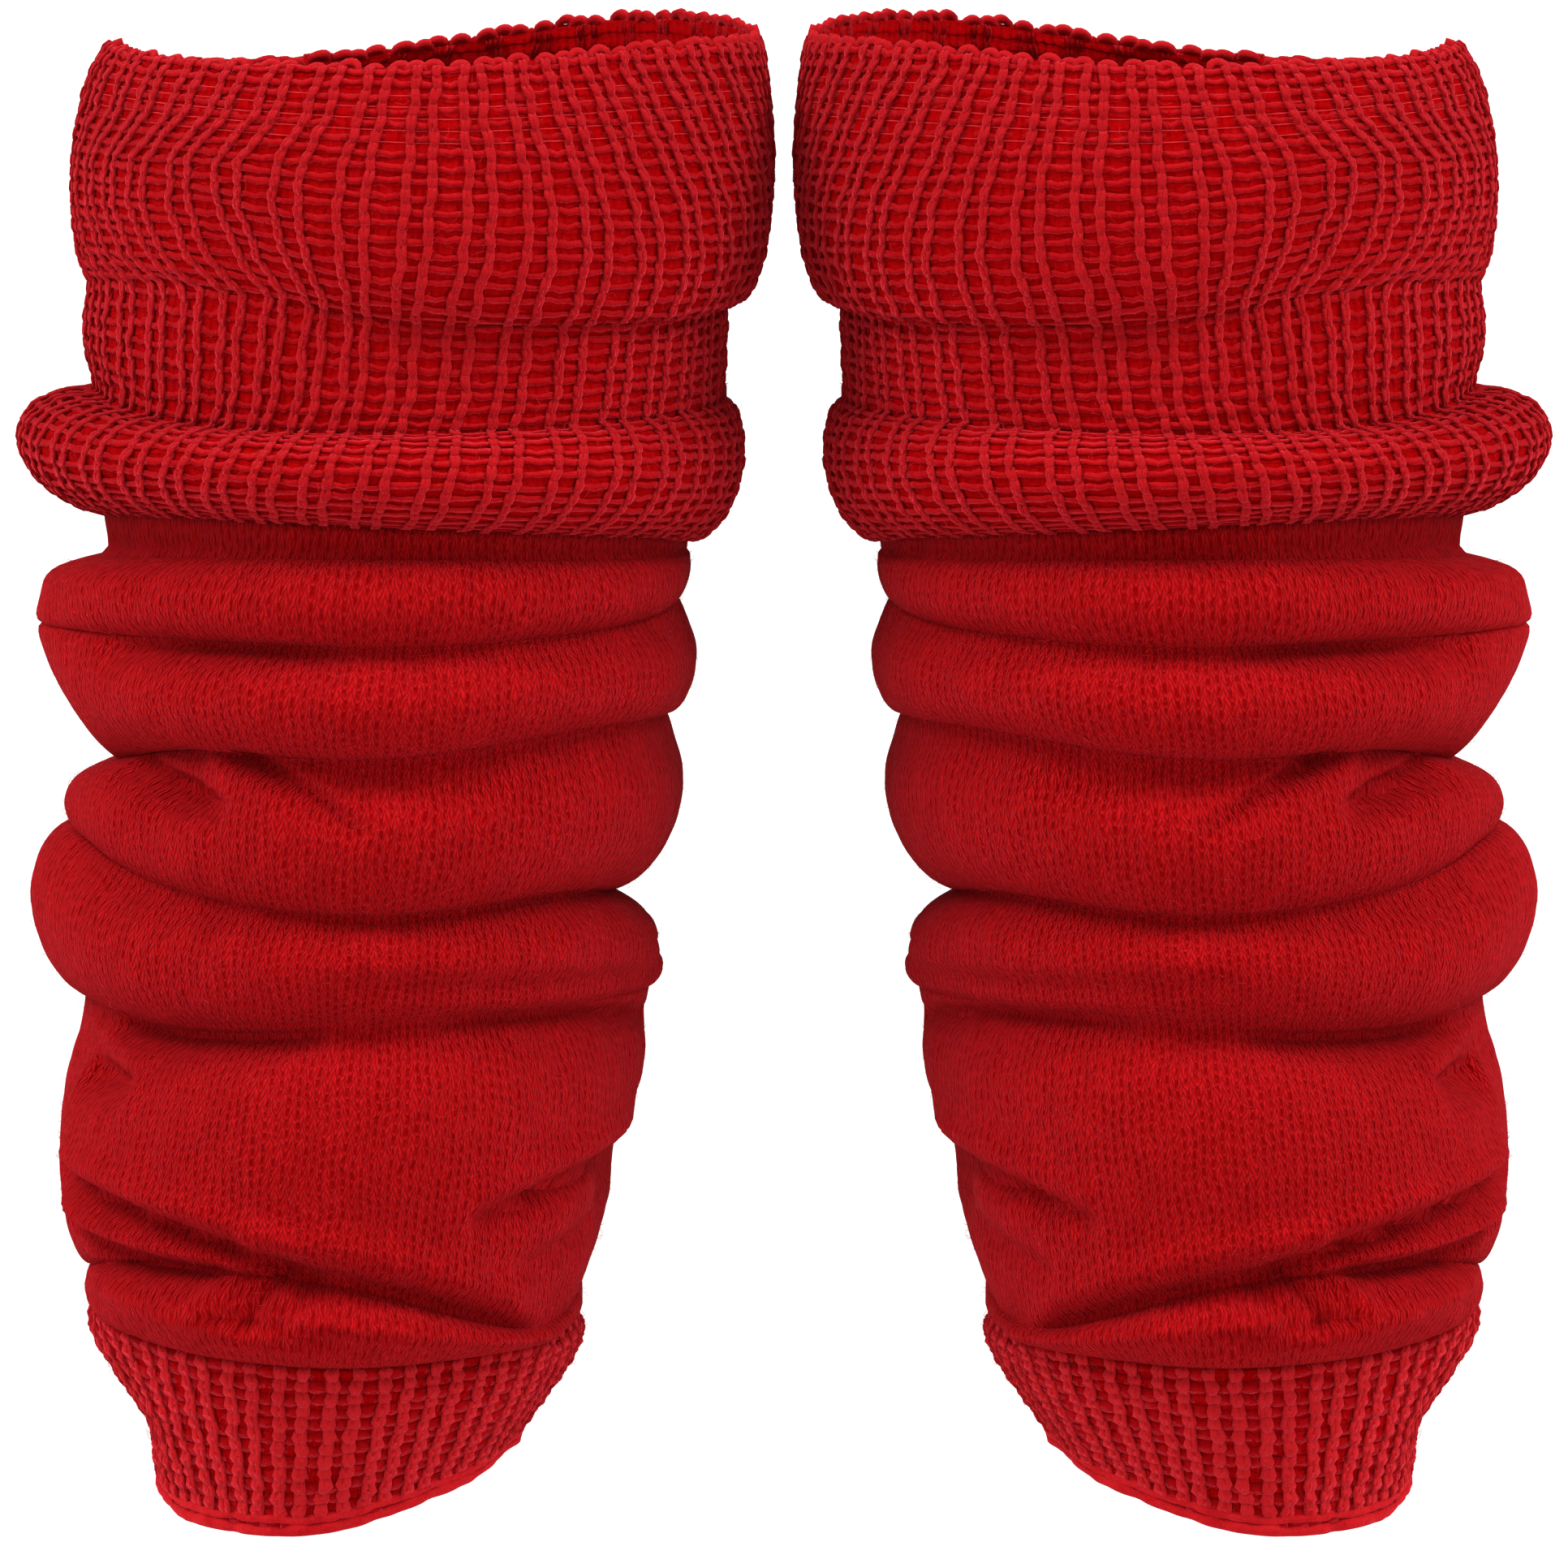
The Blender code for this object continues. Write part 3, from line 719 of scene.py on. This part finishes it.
def rim_loops():
    """Fat loops side by side on the rim. Each is half an ellipse, whose two feet go down between the wall's
    faces."""
    number = np.arange(RIM_LOOPS)[:, None]
    across = np.linspace(-1, 1, 7)[None, :]
    wobble = np.sin(2.4 * number) * np.cos(0.7 * number)
    start = (number + 0.22 * np.sin(1.7 * number)) * 2 * math.pi / RIM_LOOPS
    azimuth = start + across * LOOP_WIDTH * (1 + 0.15 * wobble) / RIM_REACH
    lift = LOOP_LIFT + 0.5 * MM * np.sin(2.1 * number + 0.8)
    foot, outward = lifted(TOP_RIB, azimuth, 0.0, lift)
    up = unit(cloth(TOP_RIB, azimuth, 0.0) - cloth(TOP_RIB, azimuth, 0.5))
    arch = np.sqrt(np.clip(1 - across**2, 0.0, 1.0))
    rise = (LOOP_HEIGHT * (1 + 0.45 * wobble) + LOOP_FOOT) * arch - LOOP_FOOT
    thick = LOOP_RADIUS * (0.85 + 0.2 * arch) + 0 * azimuth
    return tubes(foot + rise[..., None] * up, outward, thick, 4)


def stray_fibres(piece):
    """Fine hairs on the nap: each leaves the cloth, bends along it in a direction of its own, with a sine for
    its height, and ends free."""
    count, seed = FIBRES[piece.name]
    random = np.random.default_rng(seed)
    t = np.array([0.0, 0.5, 1.0])[None, :]
    start = random.uniform(0, 2 * math.pi, (count, 1))
    course = random.uniform(0.3, COURSE_ENDS[piece.name][-1] - 0.3, (count, 1))
    heading = random.uniform(0, 2 * math.pi, (count, 1))
    bend = random.uniform(-1.4, 1.4, (count, 1))
    length = random.uniform(1.6, 4.2, (count, 1)) * MM
    azimuth = start + length * t * np.cos(heading + bend * t) / FIBRE_REACH
    level = course + length * t * np.sin(heading + bend * t) / piece.course
    rise = random.uniform(0.5, 1.5, (count, 1)) * MM
    lift = rise * np.sin(math.pi * t * 0.72)
    return laid_yarn(piece, azimuth, level, lift, FIBRE_RADIUS * (1.15 - 0.6 * t))


# Materials


def operator(operation, swapped=False):
    """A method that adds a Math node, with its two sides swapped for the reflected form of an operator."""

    def method(self, *other):
        sides = (*other, self) if swapped else (self, *other)
        return self.finish.maths(operation, *sides)

    return method


class Number:
    """A number that changes over a surface. Arithmetic on it adds Math nodes to its material."""

    def __init__(self, finish, socket):
        self.finish = finish
        self.socket = socket

    __add__ = operator("ADD")
    __radd__ = operator("ADD", swapped=True)
    __sub__ = operator("SUBTRACT")
    __rsub__ = operator("SUBTRACT", swapped=True)
    __mul__ = operator("MULTIPLY")
    __rmul__ = operator("MULTIPLY", swapped=True)
    __truediv__ = operator("DIVIDE")
    __rtruediv__ = operator("DIVIDE", swapped=True)
    __pow__ = operator("POWER")
    __abs__ = operator("ABSOLUTE")
    fraction = operator("FRACT")
    sine = operator("SINE")

    def between(self, low, high):
        """0 below low, 1 above high and a smooth step between them."""
        settings = {"interpolation_type": "SMOOTHSTEP"}
        values = {"Value": self, "From Min": low, "From Max": high}
        return self.finish.number("ShaderNodeMapRange", settings, values, "Result")


class Finish:
    """One material: its nodes, and the shortest way to add one more."""

    def __init__(self, name):
        self.material = bpy.data.materials.new(name)
        self.material.use_nodes = True
        self.tree = self.material.node_tree
        self.shader = self.tree.nodes["Principled BSDF"]

    def put(self, socket, value):
        """Links a socket to a number or another socket, or sets its plain value."""
        if isinstance(value, Number):
            self.tree.links.new(value.socket, socket)
        elif isinstance(value, bpy.types.NodeSocket):
            self.tree.links.new(value, socket)
        else:
            socket.default_value = value

    def node(self, kind, settings, values):
        """Adds a node of a kind, with its settings first and then the values or links of its sockets."""
        node = self.tree.nodes.new(kind)
        for name, value in settings.items():
            setattr(node, name, value)
        for key, value in values.items():
            self.put(node.inputs[key], value)
        return node

    def number(self, kind, settings, values, output):
        """The number that a new node gives."""
        return Number(self, self.node(kind, settings, values).outputs[output])

    def maths(self, operation, *values):
        """The number that a new Math node gives."""
        return self.number("ShaderNodeMath", {"operation": operation}, dict(enumerate(values)), 0)

    def mix(self, share, first, second):
        """A colour between two colours."""
        colours = {0: share, 6: first, 7: second}
        return self.node("ShaderNodeMix", {"data_type": "RGBA"}, colours).outputs[2]

    def noise(self, scale, detail=2.0, roughness=0.5, stretch=None):
        """Smooth noise on the piece's own place in metres, from 0 to 1."""
        place = self.node("ShaderNodeTexCoord", {}, {}).outputs["Object"]
        if stretch is not None:
            place = self.node("ShaderNodeMapping", {}, {"Vector": place, "Scale": stretch}).outputs[0]
        values = {"Vector": place, "Scale": scale, "Detail": detail, "Roughness": roughness}
        return self.number("ShaderNodeTexNoise", {}, values, "Fac")

    def nap(self, colour, strength):
        """Lays one soft fuzz over a colour: the same fine noise in every finish blurs yarn into yarn."""
        fluff = self.noise(620.0, 4.0, 0.72).between(0.38, 0.72)
        haze = self.noise(140.0).between(0.3, 0.7)
        return self.mix(fluff * (haze * 0.6 + 0.4) * strength, colour, NAP_RED)

    def wool(self, colour, roughness, height_mm, sheen):
        """Matt wool: rough, raised by a height in millimetres, with a short bright nap at grazing angles."""
        raised = {"Height": height_mm, "Distance": MM}
        values = {
            "Base Color": colour,
            "Roughness": roughness,
            "Normal": self.node("ShaderNodeBump", {}, raised).outputs[0],
            "Specular IOR Level": 0.01,
            "Sheen Weight": sheen,
            "Sheen Roughness": 0.3,
            "Sheen Tint": NAP_TINT,
        }
        for name, value in values.items():
            self.put(self.shader.inputs[name], value)
        return self.material


# LIT_RED and the shaded red below it are painted highlight and painted shade, mixed by the knit's relief.
LIT_RED = (0.415, 0.0058, 0.0074, 1.0)
SHADED_KNIT_RED = (0.27, 0.0003, 0.0012, 1.0)
# The hole red is painted shade: the tube's dark inside seen through the knit's holes.
HOLE_SHADE_RED = (0.18, 0.0001, 0.0006, 1.0)
# The ground's reds are darker than the yarns' as painted shade between and behind the yarns; the shaded one
# is painted shade in the ground's low relief.
GROUND_RED = (0.32, 0.0003, 0.0012, 1.0)
GROUND_SHADED_RED = (0.25, 0.0001, 0.0007, 1.0)
NAP_RED = (0.44, 0.0085, 0.0112, 1.0)
NAP_TINT = (1.0, 0.055, 0.08, 1.0)
YARN_SHEEN = 0.95
BODY_SHEEN = 0.34
GROUND_SHEEN = 0.08


def yarn_finish(name, red, deep, fuzz, nap):
    """Soft spun yarn: red that turns deeper in patches of a few millimetres, with fine fuzz of a height in
    millimetres and a share of nap."""
    finish = Finish(name)
    patches = finish.noise(220.0, 3.0, 0.6)
    fibres = finish.noise(1600.0, 3.0, 0.65)
    shade = patches.between(0.30, 0.62) * 0.55 + fibres.between(0.3, 0.7) * 0.45
    yarn = finish.mix(shade, (*deep, 1.0), (*red, 1.0))
    height = fibres * fuzz + patches * 0.1
    return finish.wool(finish.nap(yarn, nap), 0.8 + fibres * 0.18, height, YARN_SHEEN)


def stitch_place(finish):
    """Wale and course from the cloth's own map, pulled about a little by slow and quick noise."""
    place = finish.node("ShaderNodeUVMap", {"uv_map": "Stitches"}, {}).outputs[0]
    parts = finish.node("ShaderNodeSeparateXYZ", {}, {0: place})
    drift = finish.noise(95.0) - 0.5
    jitter = finish.noise(420.0) - 0.5
    tug = finish.noise(380.0, 2.0, 0.5, (1.0, 1.0, 0.8)) - 0.5
    wale = Number(finish, parts.outputs[0]) + drift * 1.4 + jitter * 0.45
    course = Number(finish, parts.outputs[1]) + drift * 0.8 + tug * 0.55
    return wale, course


def plain_knit_finish():
    """Brushed plain knit. A wale is one unit of the map across and a course one unit down. A stitch is a V of
    two legs: the course at which a leg lies falls with the distance from the middle of its wale, and between
    the legs, in the middle, is a small hole. The colour runs from a shaded red where the relief is low to a
    lit
    red on the raised legs: painted shade and painted highlight. The hole is painted dark: painted shade of
    the tube's inside."""
    finish = Finish("brushed_plain_knit")
    wale, course = stitch_place(finish)
    side = abs(wale.fraction() - 0.5)
    column = wale - wale.fraction()
    course = course + (column * 2.4).sine() * 0.22 + (column * 5.3).sine() * 0.14
    leg = ((course + side * 2.2).fraction() * math.pi).sine() ** 0.6
    opening = (1 - side.between(0.0, 0.34)) * ((course + 0.35).fraction() * math.pi).sine().between(0.0, 0.95)
    seam = side.between(0.40, 0.5)
    napped = finish.noise(170.0, 3.0, 0.6)
    open_share = 1 - napped.between(0.40, 0.68) * 0.55
    hole = opening * open_share
    relief = (0.15 + leg * 0.85) * (1 - hole) * (1 - seam * 0.35)
    fuzz = finish.noise(1300.0, 3.0, 0.7)
    strands = finish.noise(900.0, 2.0, 0.6, (1.0, 1.0, 0.35))
    lit = relief.between(0.1, 0.9) * 0.6 + fuzz.between(0.3, 0.7) * 0.15 + strands.between(0.3, 0.7) * 0.25
    # painted shade in the low relief and painted highlight on the raised legs
    knit = finish.mix(lit, SHADED_KNIT_RED, LIT_RED)
    # painted shade: the holes darkened toward the hole red
    knit = finish.mix(hole * 0.95, knit, HOLE_SHADE_RED)
    height = relief * 0.8 + strands * 0.35 + fuzz * 0.2
    return finish.wool(finish.nap(knit, 0.4), 0.82 + fuzz * 0.16, height, BODY_SHEEN)


def rib_ground_finish():
    """Rib between and behind its chains: the square of a sine across each unit of the map, plus half a sine
    down each course. The inner side shows these soft columns and rows, shaded red in their low relief and lit
    red on top: painted shade and painted highlight. The ground is darker than the yarns: painted shade
    between and behind them. The outer side is seen only through the holes between the yarns."""
    finish = Finish("rib_ground")
    wale, course = stitch_place(finish)
    column = (wale * math.pi).sine()
    row = (course.fraction() * math.pi).sine()
    fuzz = finish.noise(1500.0, 3.0, 0.7)
    relief = column * column * 0.45 + row.between(0.3, 1.0) * 0.55
    lit = relief.between(0.1, 0.9) * 0.7 + fuzz.between(0.3, 0.7) * 0.3
    # painted shade in the low relief, lit red on the raised columns and rows
    knit = finish.mix(lit, GROUND_SHADED_RED, GROUND_RED)
    return finish.wool(finish.nap(knit, 0.25), 0.84 + fuzz * 0.14, relief * 0.8 + fuzz * 0.2, GROUND_SHEEN)


def make_finishes():
    """Every finish by name. A yarn's two colours are linear. The gap yarns are darker than the chains:
    painted shade in the gaps. The ankle chains are lighter than the cuff's: painted light on the ankle, which
    faces down, away from the lamps.
    """
    return {
        "chain": yarn_finish("rib_chain_yarn", (0.37, 0.007, 0.0095), (0.31, 0.004, 0.006), 0.4, 0.5),
        # gap yarn darker than the chains: painted shade in the gaps
        "bars": yarn_finish("rib_gap_yarn", (0.36, 0.004, 0.0062), (0.29, 0.0012, 0.0026), 0.4, 0.5),
        "ground": rib_ground_finish(),
        # ankle chains lighter: painted light on the down-facing ankle; ankle gap yarn darker: painted shade
        # in the gaps
        "ankle_chain": yarn_finish("ankle_chain_yarn", (0.475, 0.0125, 0.016), (0.4, 0.007, 0.01), 0.4, 0.6),
        "ankle_bars": yarn_finish("ankle_gap_yarn", (0.33, 0.002, 0.0038), (0.27, 0.0006, 0.0018), 0.3, 0.3),
        "elastic": yarn_finish("elastic_thread", (0.7, 0.04, 0.045), (0.6, 0.022, 0.026), 0.05, 0.5),
        "hem": yarn_finish("rolled_hem", (0.52, 0.012, 0.016), (0.38, 0.004, 0.007), 0.5, 0.5),
        "fibre": yarn_finish("stray_fibre", (0.5, 0.02, 0.026), (0.4, 0.01, 0.014), 0.05, 0.5),
        "body": plain_knit_finish(),
    }


# Pieces


def declare_cloth(node, pair, extras):
    """Hides, for both sides, the solid that a cloth stands for."""
    for side, (piece, *with_it) in zip(("left", "right"), zip(pair, *extras)):
        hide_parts(f"{side}_{node}")


def top_rib_yarns(finishes):
    """Yarns of the loose cuff: chains on both sides, the looped rim, bars between a rib's chains, purl rows
    between ribs, and elastic rows."""
    last = COURSE_ENDS["top_rib"][-1]
    chains = add_pair("top_rib_chains", finishes["chain"], *stitch_chains(CUFF, last))
    inner_chains = stitch_chains(CUFF_INSIDE, INNER_COURSES, -GROUND_DEPTH - WALL)
    rim = add_pair("top_rib_rim", finishes["chain"], *joined([inner_chains, rim_loops()]))
    courses = np.arange(last)
    loose = (courses >= LOOSE_COURSES[0]) & (courses < LOOSE_COURSES[1])
    gaps = [
        gap_rows(CUFF, KNIT_BAR, courses),
        gap_rows(CUFF, PURL_ROW, courses[~loose]),
        gap_rows(CUFF, LOOSE_PURL_ROW, courses[loose]),
        ring_tube(BODY, 0, CUFF_SEAM_LIFT, SEAM_RADIUS, 6),
    ]
    rows = add_pair("top_rib_gap_rows", finishes["bars"], *joined(gaps))
    threads = [ring_tube(TOP_RIB, course, ELASTIC_LIFT, ELASTIC_RADIUS, 3) for course in ELASTIC_COURSES]
    elastic = add_pair("top_rib_elastic", finishes["elastic"], *joined(threads))
    return [chains, rim, rows, elastic]


def hem_rings(last):
    """The turned hem: a flat band and a rolled edge below it. Their course, lift and radius wander as sums of
    sines round the leg."""
    angle = np.arange(HEM_STEPS) * 2 * math.pi / HEM_STEPS
    wander = np.sin(9 * angle) + 0.7 * np.sin(23 * angle + 1.0) + 0.5 * np.sin(41 * angle + 2.0)
    stitches = 0.5 * np.sin(HEM_STITCHES * angle)
    band_lift = BAND_LIFT + 0.1 * MM * (wander + stitches)
    band_radius = BAND_RADIUS + 0.1 * MM * stitches
    roll_lift = ROLL_LIFT + 0.12 * MM * wander
    roll_radius = ROLL_RADIUS + 0.16 * MM * wander
    band = ring_tube(ANKLE_RIB, last - 0.95 + 0.07 * wander, band_lift, band_radius, 8, HEM_STEPS)
    roll = ring_tube(ANKLE_RIB, last - 0.06 * (1 + wander), roll_lift, roll_radius, 8, HEM_STEPS)
    return joined([band, roll])


def ankle_rib_yarns(finishes):
    """Yarns of the ankle cuff: chains that end above the hem, bars, and the hem with its edge row."""
    last = COURSE_ENDS["ankle_rib"][-1]
    chains = add_pair("ankle_rib_chains", finishes["ankle_chain"], *stitch_chains(ANKLE, last - 1))
    gaps = [gap_rows(ANKLE, bar, np.arange(last)) for bar in ANKLE_BARS]
    gaps.append(ring_tube(ANKLE_RIB, 0, ANKLE_SEAM_LIFT, SEAM_RADIUS, 6, ANKLE_RIB.columns))
    rows = add_pair("ankle_rib_gap_rows", finishes["ankle_bars"], *joined(gaps))
    hem = add_pair("ankle_rib_hem", finishes["hem"], *hem_rings(last))
    return [chains, rows, hem]


# Stage, light and camera

VIEW_WIDTH = 357.4 * MM  # what the square frame takes in at the leg warmers
VIEW_HEIGHT = -152.8 * MM  # height of the frame's middle
VIEW_DISTANCE = 12.0
VIEW_ELEVATION = math.radians(3.0)
FLOOR_HEIGHT = -0.40
FLOOR_RADIUS = 40.0
FLOOR_SIDES = 96
FLOOR_GREY = (0.65, 0.65, 0.65, 1.0)
SENSOR = 36.0
SURROUND_STRENGTH = 0.84
LAMP_PLACE = (1.5, -1.5, 1.6)
LAMP_ENERGY = 2.55
LAMP_SPREAD = math.radians(26.0)
LAMP_TILT = math.radians(44.0)
LAMP_TURN = math.radians(66.0)


def pale_floor():
    """A round matt floor where the wearer's soles would be."""
    angle = np.arange(FLOOR_SIDES) * 2 * math.pi / FLOOR_SIDES
    height = np.full(FLOOR_SIDES, FLOOR_HEIGHT)
    points = np.stack([FLOOR_RADIUS * np.cos(angle), FLOOR_RADIUS * np.sin(angle), height], axis=-1)
    mesh = bpy.data.meshes.new("floor")
    mesh.from_pydata(points.tolist(), [], [tuple(range(FLOOR_SIDES))])
    finish = Finish("pale_floor")
    finish.shader.inputs["Base Color"].default_value = FLOOR_GREY
    finish.shader.inputs["Roughness"].default_value = 0.9
    mesh.materials.append(finish.material)
    floor = bpy.data.objects.new("floor", mesh)
    bpy.context.scene.collection.objects.link(floor)


def soft_light():
    """An even pale surround, and a broad lamp above the front on either side."""
    world = bpy.data.worlds.new("studio")
    world.use_nodes = True
    surround = world.node_tree.nodes["Background"]
    surround.inputs["Color"].default_value = (1.0, 1.0, 1.0, 1.0)
    surround.inputs["Strength"].default_value = SURROUND_STRENGTH
    bpy.context.scene.world = world
    for name, side in (("left_softbox", -1), ("right_softbox", 1)):
        lamp = bpy.data.lights.new(name, "SUN")
        lamp.energy = LAMP_ENERGY
        lamp.angle = LAMP_SPREAD
        holder = bpy.data.objects.new(name, lamp)
        holder.location = (side * LAMP_PLACE[0], *LAMP_PLACE[1:])
        holder.rotation_euler = (LAMP_TILT, 0.0, side * LAMP_TURN)
        bpy.context.scene.collection.objects.link(holder)
    bpy.context.scene.view_settings.view_transform = "Standard"


def front_camera():
    """A long lens from the front, a little above."""
    data = bpy.data.cameras.new("front")
    data.sensor_width = SENSOR
    data.lens = SENSOR * VIEW_DISTANCE / VIEW_WIDTH
    data.clip_end = 200.0
    camera = bpy.data.objects.new("front", data)
    camera.location = (
        0.0,
        -VIEW_DISTANCE * math.cos(VIEW_ELEVATION),
        VIEW_HEIGHT / math.cos(VIEW_ELEVATION) + VIEW_DISTANCE * math.sin(VIEW_ELEVATION),
    )
    camera.rotation_euler = (math.pi / 2 - VIEW_ELEVATION, 0.0, 0.0)
    bpy.context.scene.collection.objects.link(camera)
    bpy.context.scene.camera = camera


finishes = make_finishes()
for piece, cloth_name, depth, finish, yarns, slot, flat in (
    (TOP_RIB, "ground", GROUND_DEPTH, "ground", top_rib_yarns, "cuff_rib_knit", (0.47, 0.13)),
    (BODY, "knit", 0.0, "body", None, "body_plain_knit", (0.435, 0.225)),
    (ANKLE_RIB, "ground", ANKLE_GROUND_DEPTH, "ground", ankle_rib_yarns, "ankle_rib_knit", (0.32, 0.037)),
):
    cloth_pair = add_pair(f"{piece.name}_{cloth_name}", finishes[finish], *shell(piece, depth))
    yarn_pairs = yarns(finishes) if yarns else []
    yarn_pairs.append(add_pair(f"{piece.name}_fuzz", finishes["fibre"], *stray_fibres(piece)))
    declare_cloth(piece.name, cloth_pair, yarn_pairs)
pale_floor()
soft_light()
front_camera()
